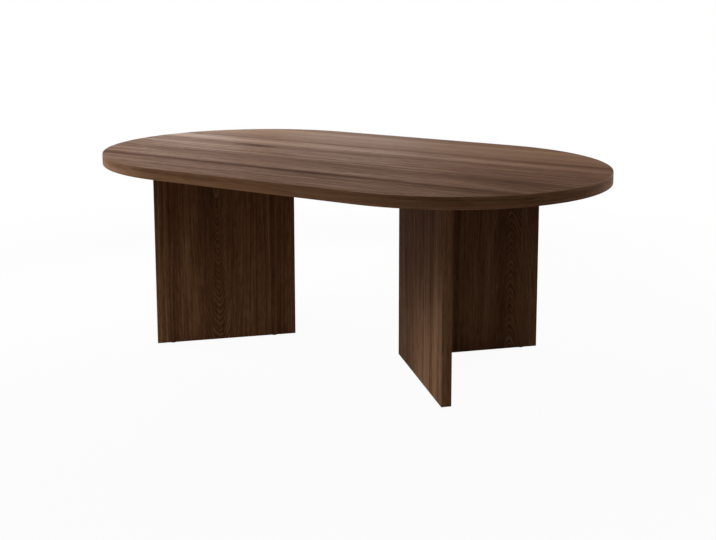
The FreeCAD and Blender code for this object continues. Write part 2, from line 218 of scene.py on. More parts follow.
class StudioStage(bpy.types.PropertyGroup):
    """Floor, lamps and camera of the studio."""

    key_power: FloatProperty(
        name="Key lamp",
        description="Power of the high soft box in front of the left end",
        unit="POWER",
        min=0,
        max=100,
        default=7.6,
    )
    side_power: FloatProperty(
        name="Side lamp",
        description="Power of the small soft box beside the left end",
        unit="POWER",
        min=0,
        max=100,
        default=3.75,
    )
    sheen_power: FloatProperty(
        name="Sheen lamp",
        description="Power of the low soft box behind the left end, which gives the top its sheen",
        unit="POWER",
        min=0,
        max=100,
        default=3.3,
    )
    back_power: FloatProperty(
        name="Back lamp",
        description="Power of the low soft box behind the left half",
        unit="POWER",
        min=0,
        max=100,
        default=1.8,
    )
    middle_power: FloatProperty(
        name="Middle lamp",
        description="Power of the low soft box behind the middle",
        unit="POWER",
        min=0,
        max=100,
        default=0.6,
    )
    rear_power: FloatProperty(
        name="Rear lamp",
        description="Power of the soft box behind on the right",
        unit="POWER",
        min=0,
        max=100,
        default=8.0,
    )
    fill_power: FloatProperty(
        name="Fill lamp",
        description="Power of the high soft box in front of the right end",
        unit="POWER",
        min=0,
        max=100,
        default=4.5,
    )
    ambient: FloatProperty(
        name="Ambient light",
        description="Strength of the even light from all round",
        min=0,
        max=1,
        default=0.03,
    )
    floor: FloatVectorProperty(
        name="Floor",
        description="Colour of the floor as the table sees it",
        subtype="COLOR",
        min=0,
        max=1,
        default=linear("#efeeec"),
    )
    lens: FloatProperty(
        name="Lens",
        description="Focal length of the camera",
        unit="CAMERA",
        min=10,
        max=200,
        default=53.5,
    )


# Material tools

# Sockets of a Mix node that mixes colours.
FACTOR, FIRST, SECOND = 0, 6, 7
MIXED = 2


def add(tree, kind, inputs=None, **settings):
    """Adds a node with its settings, and links or sets its inputs."""
    node = tree.nodes.new(kind)
    for name, setting in settings.items():
        setattr(node, name, setting)
    for socket, source in (inputs or {}).items():
        if isinstance(source, bpy.types.Node):
            source = source.outputs[0]
        if isinstance(source, bpy.types.NodeSocket):
            tree.links.new(source, node.inputs[socket])
        else:
            node.inputs[socket].default_value = source
    return node


def blank_material(name):
    """Makes a material, and gives it with its node tree, empty but for the piece's own coordinates."""
    material = bpy.data.materials.new(name)
    material.use_nodes = True
    tree = material.node_tree
    tree.nodes.clear()
    return material, tree, add(tree, "ShaderNodeTexCoord").outputs["Object"]


# Walnut veneer

# Leaf frames: x across the grain, z along it, in millimetres.
ALONG_TABLE = Matrix(((0, 0, 1), (1, 0, 0), (0, 1, 0))).to_euler()
ROUND_EDGE = Matrix(((0, 1, 0), (0, 0, 1), (1, 0, 0))).to_euler()

# The grain is drawn out along the leaf, and round the edge in both directions that it bends through.
STRETCH = 22
STRAIGHT_GRAIN = (1.0, 1.0, 1 / STRETCH)
BENT_GRAIN = (1.0, 1 / STRETCH, 1 / STRETCH)

# Sizes of the figure in millimetres.
LEAF_LENGTH = 400.0  # height of a leaf, where the arches that point up begin
LEAF_STEP = 31.0  # from one leaf to the next in the log
SWAY = 12.0  # how far the fibres wander across the leaf, half of it to each side
SWAY_ALONG = 18.0  # the same along the leaf
SWAY_SIZE = 20.0  # width of one bend of the fibres
LINE_SIZE = 6.0  # width of the grain lines
SEASON_SIZE = 8.0  # over how much wood good and poor years take turns
SEASON_DRIFT = 6.0  # how far they shift the growth rings
FLECK_SIZE = 2.6
PORE_SIZE = 1.2
ANY_DEPTH = 1e5  # a streak goes right through the leaf

BASE_TONE = 0.7  # between the dark grain at 0 and the light grain at 1


class Figure(NamedTuple):
    """Figure of one leaf of veneer, in millimetres."""

    heart: float = 900.0  # where the log's heart lies across the leaf, here far beside it
    slope: float = 0.0  # how fast the rings close over the heart; negative arches point down
    arch: float = 30.0  # half width of the arches
    coarse: float = 1.0  # grain size, larger where a leaf is seen at a flat angle
    contrast: float = 1.0  # strength of the grain
    calm: tuple = ()  # across from, across to, share of the contrast that is left there
    light: float = 0.0  # how much lighter the whole leaf is
    gloss: float = 0.05  # specular level of the lacquer
    seed: int = 0  # leaf of the log, so that no two leaves are alike
    stain: str = "dark"  # which colour of the look the darkest grain has
    streaks: tuple = ()  # along, across, half length, half width, tone of each streak, or of a patch of painted shade or painted light


TOP_FIGURE = Figure(
    coarse=1.7,
    contrast=0.9,
    calm=(80, 230, 0.45),
    light=-0.025,
    gloss=0.1,
    stain="heart",
    streaks=(
        (0, 255, 2500, 34, 0.28),
        (0, 206, 2500, 42, 0.15),
        (0, 172, 2500, 34, 0.1),
        (420, 122, 240, 26, -0.12),
        (-350, 84, 1500, 38, 0.45),
        (280, 53, 480, 22, -0.2),
        (-236, 31, 76, 20, -0.54),
        (100, 6, 500, 16, 0.12),
        (0, -14, 2500, 20, 0.1),
        (-250, -66, 300, 26, 0.2),
        # This broad patch is painted shade: it darkens the right end of the top.
        (470, 20, 240, 200, -0.1),
        (430, -70, 200, 30, -0.2),
        (-365, -103, 210, 24, -0.08),
        (440, -105, 230, 28, -0.24),
        (0, -118, 2500, 44, -0.02),
        (480, -150, 200, 110, -0.16),
        (0, -176, 2500, 20, 0.1),
        (0, -205, 2500, 23, -0.37),
        (57, -206, 150, 19, -0.3),
        (200, -235, 280, 20, -0.12),
    ),
)
UNDERSIDE_FIGURE = Figure(heart=90, slope=0.2, arch=40)
UNDERSIDE_PLACE = (0.2, 0.4, 0)
EDGE_BAND_FIGURE = Figure(contrast=0.7, light=0.06, gloss=0.17)
END_BAND_FIGURE = Figure(light=0.12)
PANEL_FIGURES = {
    # This leaf's patch is painted shade: the panel is darker towards its top, under the tabletop.
    "left_leg_front_outer_veneer": Figure(
        heart=163, slope=-0.5, arch=36, contrast=0.9, seed=1, streaks=((400, 150, 260, 600, -0.16),)
    ),
    "left_leg_front_inner_veneer": Figure(heart=205, slope=-0.4, arch=30, contrast=0.8, seed=2),
    "left_leg_back_outer_veneer": Figure(heart=118, slope=0.45, arch=50, contrast=0.75, seed=3),
    "left_leg_back_inner_veneer": Figure(contrast=0.8, seed=4),
    "right_leg_back_outer_veneer": Figure(heart=150, slope=0.4, arch=58, contrast=0.75, seed=5),
    # This leaf's patch is painted shade: the panel is darker towards its top, under the tabletop.
    "right_leg_back_inner_veneer": Figure(
        heart=233, slope=0.45, arch=54, contrast=0.72, seed=6, streaks=((400, 150, 260, 600, -0.16),)
    ),
    "right_leg_front_inner_veneer": Figure(heart=95, slope=-0.5, arch=30, contrast=0.8, seed=7),
    "right_leg_front_outer_veneer": Figure(
        coarse=1.6,
        gloss=0.1,
        seed=8,
        streaks=(
            # The first patch is painted light that lightens the foot of the panel, and the second is
            # painted shade that darkens its top under the tabletop; the narrower ones are grain streaks.
            (10, 190, 230, 220, 0.25),
            (360, 150, 230, 260, -0.16),
            (120, 222, 260, 9, -0.3),
            (60, 250, 300, 16, 0.25),
            (300, 60, 250, 20, -0.15),
        ),
    ),
}


def walnut_veneer(name, place, turn, spread, figure):
    """Sliced walnut, sanded and matt lacquered.

    The eye gets brown streaks along the grain, fine dark growth-ring lines that close into arches
    over the heart of the log, and short open pores that break the soft sheen.
    """
    look = bpy.context.scene.walnut_veneer
    material, tree, spot = blank_material(name)
    leaf = add(
        tree,
        "ShaderNodeMapping",
        {"Vector": spot, "Location": place, "Rotation": turn, "Scale": (MM, MM, MM)},
        vector_type="TEXTURE",
    )
    grain = add(
        tree,
        "ShaderNodeVectorMath",
        {0: leaf, 1: tuple(Vector(spread) / figure.coarse), 2: (0.0, 0.0, LEAF_STEP * figure.seed)},
        operation="MULTIPLY_ADD",
    )

    # The fibres wander sideways by a few millimetres.
    sway = add(tree, "ShaderNodeTexNoise", {"Vector": grain, "Scale": 1 / SWAY_SIZE, "Detail": 2.0})
    bent = add(
        tree,
        "ShaderNodeVectorMath",
        {0: sway.outputs["Color"], 1: (SWAY, SWAY, 0.0), 2: grain},
        operation="MULTIPLY_ADD",
    )
    wander = add(
        tree,
        "ShaderNodeVectorMath",
        {0: sway.outputs["Color"], 1: (SWAY, 0.0, SWAY_ALONG), 2: leaf},
        operation="MULTIPLY_ADD",
    )
    broad = add(tree, "ShaderNodeTexNoise", {"Vector": bent, "Scale": MM / look.streak, "Detail": 1.0})
    lines = add(
        tree,
        "ShaderNodeTexNoise",
        {"Vector": bent, "Scale": 1 / LINE_SIZE, "Detail": 3.0, "Roughness": 0.6},
    )

    # Growth rings run straight beside the heart of the log and close into arches over it, each with a
    # tip that is rounded over a third of its half width.
    across = add(tree, "ShaderNodeSeparateXYZ", {0: wander})
    aside = add(tree, "ShaderNodeMath", {0: across, 1: figure.heart + SWAY / 2}, operation="SUBTRACT")
    square = add(tree, "ShaderNodeMath", {0: aside, 1: aside}, operation="MULTIPLY")
    blunt = add(tree, "ShaderNodeMath", {0: square, 1: figure.arch**2 / 9}, operation="ADD")
    blunt = add(tree, "ShaderNodeMath", {0: blunt}, operation="SQRT")
    fade = add(tree, "ShaderNodeMath", {0: square, 1: -1 / figure.arch**2}, operation="MULTIPLY")
    fade = add(tree, "ShaderNodeMath", {0: fade}, operation="EXPONENT")
    rise = add(
        tree,
        "ShaderNodeMath",
        {0: across.outputs["Z"], 1: figure.slope, 2: min(0.0, -figure.slope * LEAF_LENGTH)},
        operation="MULTIPLY_ADD",
    )
    ring = add(tree, "ShaderNodeMath", {0: rise, 1: fade, 2: blunt}, operation="MULTIPLY_ADD")
    season = add(
        tree,
        "ShaderNodeTexNoise",
        {"W": ring, "Scale": 1 / SEASON_SIZE, "Detail": 2.0},
        noise_dimensions="1D",
    )
    ring = add(tree, "ShaderNodeMath", {0: season, 1: SEASON_DRIFT, 2: ring}, operation="MULTIPLY_ADD")
    ring = add(tree, "ShaderNodeMath", {0: ring, 1: MM / look.ring / figure.coarse}, operation="MULTIPLY")
    ring = add(tree, "ShaderNodeMath", {0: ring}, operation="FRACT")
    # Each ring darkens slowly through the summer and ends sharply in the winter.
    summer = add(
        tree,
        "ShaderNodeMapRange",
        {"Value": ring, "From Min": 0.1, "From Max": 0.85},
        interpolation_type="SMOOTHSTEP",
    )
    winter = add(
        tree,
        "ShaderNodeMapRange",
        {"Value": ring, "From Min": 0.82, "To Min": 1.0, "To Max": 0.0},
        interpolation_type="SMOOTHSTEP",
    )
    ring = add(tree, "ShaderNodeMath", {0: summer, 1: winter}, operation="MULTIPLY")
    bold = add(
        tree,
        "ShaderNodeMapRange",
        {"Value": season, "From Min": 0.35, "From Max": 0.65, "To Min": 0.3, "To Max": 1.0},
        interpolation_type="SMOOTHSTEP",
    )
    ring = add(tree, "ShaderNodeMath", {0: ring, 1: bold}, operation="MULTIPLY")
    # Away from the heart the rings are cut on edge and fade into the straight grain.
    plain = add(tree, "ShaderNodeMapRange", {"Value": fade, "To Min": 0.3, "To Max": 1.25})
    ring = add(tree, "ShaderNodeMath", {0: ring, 1: plain}, operation="MULTIPLY")

    # Pores are 0.2 mm wide in the real wood and drawn 1.2 mm wide, or they would not show.
    pore_space = add(tree, "ShaderNodeVectorMath", {0: bent, 1: (1.0, 1.0, 1.6)}, operation="MULTIPLY")
    pore = add(tree, "ShaderNodeTexNoise", {"Vector": pore_space, "Scale": 1 / PORE_SIZE, "Detail": 1.0})
    pore = add(
        tree,
        "ShaderNodeMapRange",
        {"Value": pore, "From Min": 0.52, "From Max": 0.72},
        interpolation_type="SMOOTHSTEP",
    )

    # Flecks are short darker and lighter dashes between the rings.
    fleck_space = add(tree, "ShaderNodeVectorMath", {0: bent, 1: (1.0, 1.0, 2.0)}, operation="MULTIPLY")
    fleck = add(
        tree, "ShaderNodeTexNoise", {"Vector": fleck_space, "Scale": 1 / FLECK_SIZE, "Detail": 2.0}
    )

    # How much each part of the figure changes the tone. Four swing both ways, and rings and pores darken.
    weights = ((broad, 0.5), (lines, 0.8), (season, 0.7), (fleck, 0.4))
    tone = -sum(weight for _, weight in weights) * figure.contrast / 2
    for signal, weight in weights + ((ring, -0.45), (pore, -0.2)):
        tone = add(
            tree,
            "ShaderNodeMath",
            {0: signal, 1: weight * figure.contrast, 2: tone},
            operation="MULTIPLY_ADD",
        )
    # One side of a leaf can be calmer than the other.
    share = 1.0
    if figure.calm:
        wild, quiet, rest = figure.calm
        share = add(
            tree,
            "ShaderNodeMapRange",
            {
                "Value": across,
                "From Min": wild + SWAY / 2,
                "From Max": quiet + SWAY / 2,
                "To Min": 1.0,
                "To Max": rest,
            },
            interpolation_type="SMOOTHSTEP",
        )
    tone = add(
        tree,
        "ShaderNodeMath",
        {0: tone, 1: share, 2: BASE_TONE + figure.light},
        operation="MULTIPLY_ADD",
    )
    # Streaks of tone along the grain, and the patches of painted shade or painted light that a figure
    # lists.
    for along, side, half_length, half_width, change in figure.streaks:
        near = add(
            tree,
            "ShaderNodeMapping",
            {
                "Vector": wander,
                "Location": (side + SWAY / 2, 0.0, along),
                "Scale": (half_width, ANY_DEPTH, half_length),
            },
            vector_type="TEXTURE",
        )
        near = add(tree, "ShaderNodeTexGradient", {"Vector": near}, gradient_type="SPHERICAL")
        tone = add(
            tree,
            "ShaderNodeMath",
            {0: near.outputs["Fac"], 1: change, 2: tone},
            operation="MULTIPLY_ADD",
        )

    colour = add(tree, "ShaderNodeValToRGB", {"Fac": tone})
    ramp = colour.color_ramp
    ramp.elements[0].color = (*getattr(look, figure.stain), 1)
    ramp.elements[1].color = (*look.light, 1)
    ramp.elements.new(0.5).color = (*look.middle, 1)

    # The dark streaks have wider pores, so the lacquer sinks in there and loses its sheen.
    gloss = add(
        tree,
        "ShaderNodeMapRange",
        {"Value": tone, "From Min": 0.1, "From Max": 1.1, "To Min": 1.0, "To Max": look.roughness},
        interpolation_type="SMOOTHSTEP",
    )
    height = add(tree, "ShaderNodeMath", {0: pore, 1: -1.0, 2: lines}, operation="MULTIPLY_ADD")
    relief = add(tree, "ShaderNodeBump", {"Height": height, "Strength": 0.12, "Distance": 0.1 * MM})
    lacquer = add(
        tree,
        "ShaderNodeBsdfPrincipled",
        {"Base Color": colour, "Roughness": gloss, "Specular IOR Level": figure.gloss, "Normal": relief},
    )
    add(tree, "ShaderNodeOutputMaterial", {"Surface": lacquer})
    return material


def finish_node(node, material):
    """Gives a CAD node its material."""
    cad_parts[node].material_slots[0].material = material


class FinishTabletop(bpy.types.Operator):
    """Finish the tabletop's two veneers and its edge band"""

    bl_idname = "coffee_table.tabletop"
    bl_label = "Tabletop"

    def execute(self, context):
        middle = (0, 0, 0)
        face = walnut_veneer("walnut_veneer_top", middle, ALONG_TABLE, STRAIGHT_GRAIN, TOP_FIGURE)
        finish_node("top_face_veneer", face)
        below = walnut_veneer(
            "walnut_veneer_underside", UNDERSIDE_PLACE, ALONG_TABLE, STRAIGHT_GRAIN, UNDERSIDE_FIGURE
        )
        finish_node("top_underside_veneer", below)
        band = walnut_veneer("walnut_edge_band", middle, ROUND_EDGE, BENT_GRAIN, EDGE_BAND_FIGURE)
        finish_node("top_edge_band", band)
        return {"FINISHED"}


class FinishPanels(bpy.types.Operator):
    """Finish the leg panels' veneer and end bands"""

    bl_idname = "coffee_table.panels"
    bl_label = "Leg panels"

    def execute(self, context):
        for leg, leg_side in LEGS.items():
            for arm, arm_side in ARMS.items():
                turn = (0, 0, math.atan2(arm_side, leg_side))
                place = (leg_side * LEG_CORNER, 0, 0)
                for sheet in ("outer_veneer", "inner_veneer", "end_band"):
                    node = f"{leg}_leg_{arm}_{sheet}"
                    figure = PANEL_FIGURES.get(node, END_BAND_FIGURE)
                    leaf = walnut_veneer(f"walnut_{node}", place, turn, STRAIGHT_GRAIN, figure)
                    finish_node(node, leaf)
        return {"FINISHED"}


# Modelling tools

ROUND = 48  # corners of a turned head, bore or foot
THREAD_STEPS = 24  # steps to one turn of a thread
CREST_SHARE = 0.2  # width of a thread's crest as a share of its pitch
OVERLAP = 0.4 * MM  # how far a stem reaches into its head, so that the two join
SMOOTH_ANGLE = math.radians(40)
TURN_BETWEEN = 2.4  # from one fitting to the next, so that no two are driven home alike
TOUCHING = 1e-6  # points nearer than this are one


def start(add_primitive, **settings):
    """Adds a primitive with nothing else selected and puts its place into its mesh."""
    bpy.ops.object.select_all(action="DESELECT")
    add_primitive(**settings)
    bpy.ops.object.transform_apply()
    return bpy.context.active_object


def pick(piece, kind, test):
    """Selects only the faces, edges or verts of a piece in edit mode that pass the test."""
    bpy.ops.mesh.select_mode(type={"faces": "FACE", "edges": "EDGE", "verts": "VERT"}[kind])
    bpy.ops.mesh.select_all(action="DESELECT")
    mesh = bmesh.from_edit_mesh(piece.data)
    for part in getattr(mesh, kind):
        if test(part):
            part.select_set(True)
    mesh.select_flush_mode()
    bmesh.update_edit_mesh(piece.data)


def on_height(height):
    """Makes a test for faces and edges that lie flat at a height."""
    return lambda part: all(abs(vert.co.z - height) < TOUCHING for vert in part.verts)


def carry_on(rise, size, height):
    """Extrudes the selected end along Z to a height and resizes it there."""
    bpy.ops.mesh.extrude_region_move(TRANSFORM_OT_translate={"value": (0, 0, rise)})
    bpy.ops.transform.resize(value=(size, size, 1), center_override=(0, 0, height))


def combine(piece, tool, operation):
    """Cuts a tool out of a piece or joins it on, and removes the tool."""
    step = piece.modifiers.new("combine", "BOOLEAN")
    step.object = tool
    step.operation = operation
    step.solver = "EXACT"
    bpy.ops.object.select_all(action="DESELECT")
    bpy.context.view_layer.objects.active = piece
    piece.select_set(True)
    bpy.ops.object.modifier_apply(modifier=step.name)
    bpy.data.objects.remove(tool)


def turned_head(radius, height, crown, segments):
    """Models a round head with its crown at the origin, and stays in edit mode."""
    head = start(
        bpy.ops.mesh.primitive_cylinder_add,
        vertices=ROUND,
        radius=radius,
        depth=height,
        location=(0, 0, -height / 2),
    )
    bpy.ops.object.mode_set(mode="EDIT")
    pick(head, "edges", on_height(0))
    bpy.ops.mesh.bevel(offset=crown, segments=segments, profile=0.5)
    return head


def thread(root, crest, pitch, top, bottom):
    """Models a threaded stem down the Z axis, closed at both ends, and stays in edit mode."""
    middle = ((root + crest) / 2, 0, bottom - pitch / 2)
    stem = start(bpy.ops.mesh.primitive_plane_add, size=1, location=middle, rotation=(math.pi / 2, 0, 0))
    bpy.ops.object.mode_set(mode="EDIT")
    bpy.ops.transform.resize(value=(crest - root, 1, pitch), center_override=middle)
    bpy.ops.mesh.delete(type="ONLY_FACE")
    pick(stem, "edges", lambda edge: all(vert.co.x < middle[0] for vert in edge.verts))
    bpy.ops.mesh.delete(type="EDGE")
    pick(stem, "verts", lambda vert: vert.co.x > middle[0])
    bpy.ops.transform.resize(value=(1, 1, CREST_SHARE), center_override=middle)
    bpy.ops.object.mode_set(mode="OBJECT")
    step = stem.modifiers.new("turns", "SCREW")
    step.screw_offset = pitch
    # Two turns are spare and are cut off square at the ends.
    step.iterations = math.ceil((top - bottom) / pitch) + 2
    step.steps = step.render_steps = THREAD_STEPS
    bpy.ops.object.modifier_apply(modifier=step.name)
    bpy.ops.object.mode_set(mode="EDIT")
    for height, way in ((top, 1), (bottom, -1)):
        bpy.ops.mesh.select_all(action="SELECT")
        bpy.ops.mesh.remove_doubles(threshold=TOUCHING)
        bpy.ops.mesh.select_all(action="SELECT")
        bpy.ops.mesh.bisect(
            plane_co=(0, 0, height), plane_no=(0, 0, way), use_fill=True, clear_outer=True, threshold=1e-7
        )
    bpy.ops.mesh.select_all(action="SELECT")
    bpy.ops.mesh.normals_make_consistent(inside=False)
    pick(stem, "faces", on_height(bottom))
    return stem


def solids(node):
    """Gives the points of each loose solid of a CAD node."""
    mesh = bmesh.new()
    mesh.from_mesh(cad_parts[node].data)
    bmesh.ops.remove_doubles(mesh, verts=mesh.verts, dist=TOUCHING)
    seen = set()
    found = []
    for first in mesh.verts:
        if first in seen:
            continue
        seen.add(first)
        reached = [first]
        for vert in reached:
            for edge in vert.link_edges:
                other = edge.other_vert(vert)
                if other not in seen:
                    seen.add(other)
                    reached.append(other)
        found.append([vert.co.copy() for vert in reached])
    mesh.free()
    return found


def place_copies(model, kind, outward, material):
    """Copies a model, its outer end at the origin, onto each solid of both legs' nodes of its kind."""
    bpy.ops.object.select_all(action="DESELECT")
    bpy.context.view_layer.objects.active = model
    model.select_set(True)
    bpy.ops.object.shade_smooth_by_angle(angle=SMOOTH_ANGLE)
    model.data.materials.clear()
    model.data.materials.append(material)
    for leg, leg_side in LEGS.items():
        node = f"{leg}_leg_{kind}s"
        for number, points in enumerate(solids(node), 1):
            arm_side = math.copysign(1, points[0].y)
            turn = outward(leg_side, arm_side).to_track_quat("Z", "Y").to_matrix()
            local = [turn.inverted() @ point for point in points]
            low, high = (Vector(map(furthest, zip(*local))) for furthest in (min, max))
            end = Vector(((low.x + high.x) / 2, (low.y + high.y) / 2, high.z))
            driven = Matrix.Rotation(TURN_BETWEEN * number, 4, "Z")
            mesh = model.data.copy()
            mesh.transform(turn.to_4x4() @ Matrix.Translation(end) @ driven)
            piece = bpy.data.objects.new(f"{leg}_leg_{kind}_{number}", mesh)
            bpy.context.scene.collection.objects.link(piece)
            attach(piece, "root")
            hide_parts(node)
    bpy.data.objects.remove(model)


def from_panel(leg_side, arm_side):
    """Gives the way out of a panel's inner face."""
    return Vector((leg_side, -arm_side, 0)).normalized()


def downwards(leg_side, arm_side):
    """Gives the way down, which is the same for every panel."""
    return Vector((0, 0, -1))


# Finishes of the fittings and the boards

def zinc_plated_steel():
    """Bright zinc over rolled steel: pale, slightly clouded metal with a soft shine."""
    # Screws, bolts and washers share one material.
    known = bpy.data.materials.get("zinc_plated_steel")
    if known:
        return known
    look = bpy.context.scene.fittings
    material, tree, spot = blank_material("zinc_plated_steel")
    cloud = add(tree, "ShaderNodeTexNoise", {"Vector": spot, "Scale": 1 / (3 * MM), "Detail": 3.0})
    colour = add(
        tree,
        "ShaderNodeMix",
        {FACTOR: cloud, FIRST: (*look.plating, 1), SECOND: (*(part * 0.72 for part in look.plating), 1)},
        data_type="RGBA",
    )
    gloss = add(tree, "ShaderNodeMapRange", {"Value": cloud, "To Min": 0.24, "To Max": 0.42})
    grit = add(tree, "ShaderNodeTexNoise", {"Vector": spot, "Scale": 1 / (0.3 * MM), "Detail": 1.0})
    relief = add(tree, "ShaderNodeBump", {"Height": grit, "Strength": 0.08, "Distance": 0.02 * MM})
    metal = add(
        tree,
        "ShaderNodeBsdfPrincipled",
        {"Base Color": colour.outputs[MIXED], "Metallic": 1.0, "Roughness": gloss, "Normal": relief},
    )
    add(tree, "ShaderNodeOutputMaterial", {"Surface": metal})
    return material


def die_cast_zinc():
    """Zinc alloy as it leaves the mould: dull grey metal with a fine cast skin."""
    material, tree, spot = blank_material("die_cast_zinc")
    skin = add(tree, "ShaderNodeTexNoise", {"Vector": spot, "Scale": 1 / (0.8 * MM), "Detail": 3.0})
    colour = add(
        tree,
        "ShaderNodeMix",
        {FACTOR: skin, FIRST: (*linear("#a9a8a4"), 1), SECOND: (*linear("#807f7c"), 1)},
        data_type="RGBA",
    )
    gloss = add(tree, "ShaderNodeMapRange", {"Value": skin, "To Min": 0.42, "To Max": 0.6})
    relief = add(tree, "ShaderNodeBump", {"Height": skin, "Strength": 0.2, "Distance": 0.03 * MM})
    metal = add(
        tree,
        "ShaderNodeBsdfPrincipled",
        {"Base Color": colour.outputs[MIXED], "Metallic": 1.0, "Roughness": gloss, "Normal": relief},
    )
    add(tree, "ShaderNodeOutputMaterial", {"Surface": metal})
    return material


def powder_coated_steel():
    """Black polyester powder baked on folded steel: even satin with the faint orange peel of the melt."""
    look = bpy.context.scene.fittings
    material, tree, spot = blank_material("powder_coated_steel")
    peel = add(tree, "ShaderNodeTexNoise", {"Vector": spot, "Scale": 1 / (0.9 * MM), "Detail": 1.0})
    cloud = add(tree, "ShaderNodeTexNoise", {"Vector": spot, "Scale": 1 / (14 * MM), "Detail": 2.0})
    colour = add(
        tree,
        "ShaderNodeMix",
        {FACTOR: cloud, FIRST: (*look.coating, 1), SECOND: (*(part * 1.7 for part in look.coating), 1)},
        data_type="RGBA",
    )
    gloss = add(tree, "ShaderNodeMapRange", {"Value": peel, "To Min": 0.42, "To Max": 0.58})
    relief = add(tree, "ShaderNodeBump", {"Height": peel, "Strength": 0.25, "Distance": 0.05 * MM})
    coat = add(
        tree,
        "ShaderNodeBsdfPrincipled",
        {"Base Color": colour.outputs[MIXED], "Roughness": gloss, "IOR": 1.5, "Normal": relief},
    )
    add(tree, "ShaderNodeOutputMaterial", {"Surface": coat})
    return material


def moulded_nylon():
    """Brown nylon, dyed in the mass: slightly waxy, lets a little light in, with a dull moulded skin."""
    look = bpy.context.scene.fittings
    material, tree, spot = blank_material("moulded_nylon")
    flow = add(tree, "ShaderNodeTexNoise", {"Vector": spot, "Scale": 1 / (4 * MM), "Detail": 2.0})
    colour = add(
        tree,
        "ShaderNodeMix",
        {FACTOR: flow, FIRST: (*look.nylon, 1), SECOND: (*(part * 0.86 for part in look.nylon), 1)},
        data_type="RGBA",
    )
    gloss = add(tree, "ShaderNodeMapRange", {"Value": flow, "To Min": 0.4, "To Max": 0.55})
    skin = add(tree, "ShaderNodeTexNoise", {"Vector": spot, "Scale": 1 / (0.4 * MM), "Detail": 1.0})
    relief = add(tree, "ShaderNodeBump", {"Height": skin, "Strength": 0.1, "Distance": 0.03 * MM})
    plastic = add(
        tree,
        "ShaderNodeBsdfPrincipled",
        {
            "Base Color": colour.outputs[MIXED],
            "Roughness": gloss,
            "IOR": 1.53,
            "Subsurface Weight": 0.15,
            "Subsurface Scale": 1.5 * MM,
            "Normal": relief,
        },
    )
    add(tree, "ShaderNodeOutputMaterial", {"Surface": plastic})
    return material


def fibre_board():
    """Medium-density fibre board, sawn: tan felted fibres with darker specks and no shine."""
    material, tree, spot = blank_material("fibre_board")
    # Single fibres are 0.03 mm thick and are drawn as 0.6 mm tufts.
    tuft = add(
        tree,
        "ShaderNodeTexNoise",
        {"Vector": spot, "Scale": 1 / (0.6 * MM), "Detail": 3.0, "Roughness": 0.65},
    )
    cloud = add(tree, "ShaderNodeTexNoise", {"Vector": spot, "Scale": 1 / (9 * MM), "Detail": 2.0})
    tone = add(tree, "ShaderNodeMath", {0: cloud, 1: 0.6, 2: -0.3}, operation="MULTIPLY_ADD")
    tone = add(tree, "ShaderNodeMath", {0: tuft, 1: tone}, operation="ADD")
    colour = add(tree, "ShaderNodeValToRGB", {"Fac": tone})
    ramp = colour.color_ramp
    ramp.elements[0].position = 0.25
    ramp.elements[0].color = (*linear("#7d5c3c"), 1)
    ramp.elements[1].position = 0.75
    ramp.elements[1].color = (*linear("#bb9868"), 1)
    gloss = add(tree, "ShaderNodeMapRange", {"Value": tuft, "To Min": 0.85, "To Max": 0.97})
    relief = add(tree, "ShaderNodeBump", {"Height": tuft, "Strength": 0.3, "Distance": 0.1 * MM})
    board = add(
        tree,
        "ShaderNodeBsdfPrincipled",
        {"Base Color": colour, "Roughness": gloss, "Specular IOR Level": 0.2, "Normal": relief},
    )
    add(tree, "ShaderNodeOutputMaterial", {"Surface": board})
    return material


def pressed_beech():
    """Beech pressed thin: pinkish tan with short brown ray flecks and a die-stamped, dry surface."""
    material, tree, spot = blank_material("pressed_beech")
    stretched = add(tree, "ShaderNodeVectorMath", {0: spot, 1: (1.0, 1.0, 0.3)}, operation="MULTIPLY")
    fibre = add(tree, "ShaderNodeTexNoise", {"Vector": stretched, "Scale": 1 / (2 * MM), "Detail": 3.0})
    fleck = add(tree, "ShaderNodeTexNoise", {"Vector": stretched, "Scale": 1 / (0.5 * MM), "Detail": 1.0})
    fleck = add(
        tree,
        "ShaderNodeMapRange",
        {"Value": fleck, "From Min": 0.58, "From Max": 0.7},
        interpolation_type="SMOOTHSTEP",
    )
    colour = add(
        tree,
        "ShaderNodeMix",
        {FACTOR: fibre, FIRST: (*linear("#d3ac80"), 1), SECOND: (*linear("#b88a5e"), 1)},
        data_type="RGBA",
    )
    colour = add(
        tree,
        "ShaderNodeMix",
        {FACTOR: fleck, FIRST: colour.outputs[MIXED], SECOND: (*linear("#8f6440"), 1)},
        data_type="RGBA",
    )
    gloss = add(tree, "ShaderNodeMapRange", {"Value": fibre, "To Min": 0.7, "To Max": 0.85})
    relief = add(tree, "ShaderNodeBump", {"Height": fibre, "Strength": 0.2, "Distance": 0.08 * MM})
    wood = add(
        tree,
        "ShaderNodeBsdfPrincipled",
        {
            "Base Color": colour.outputs[MIXED],
            "Roughness": gloss,
            "Specular IOR Level": 0.3,
            "Normal": relief,
        },
    )
    add(tree, "ShaderNodeOutputMaterial", {"Surface": wood})
    return material


class FinishBoards(bpy.types.Operator):
    """Finish the fibre boards inside the veneer and the biscuits in the mitres"""

    bl_idname = "coffee_table.boards"
    bl_label = "Boards and biscuits"

    def execute(self, context):
        board = fibre_board()
        biscuit = pressed_beech()
        finish_node("top_core", board)
        for leg in LEGS:
            finish_node(f"{leg}_leg_biscuits", biscuit)
            for arm in ARMS:
                finish_node(f"{leg}_leg_{arm}_core", board)
        return {"FINISHED"}


class FinishBrackets(bpy.types.Operator):
    """Finish the folded angles under the top"""

    bl_idname = "coffee_table.brackets"
    bl_label = "Brackets"

    def execute(self, context):
        coat = powder_coated_steel()
        for leg in LEGS:
            for arm in ARMS:
                finish_node(f"{leg}_leg_{arm}_bracket", coat)
        return {"FINISHED"}


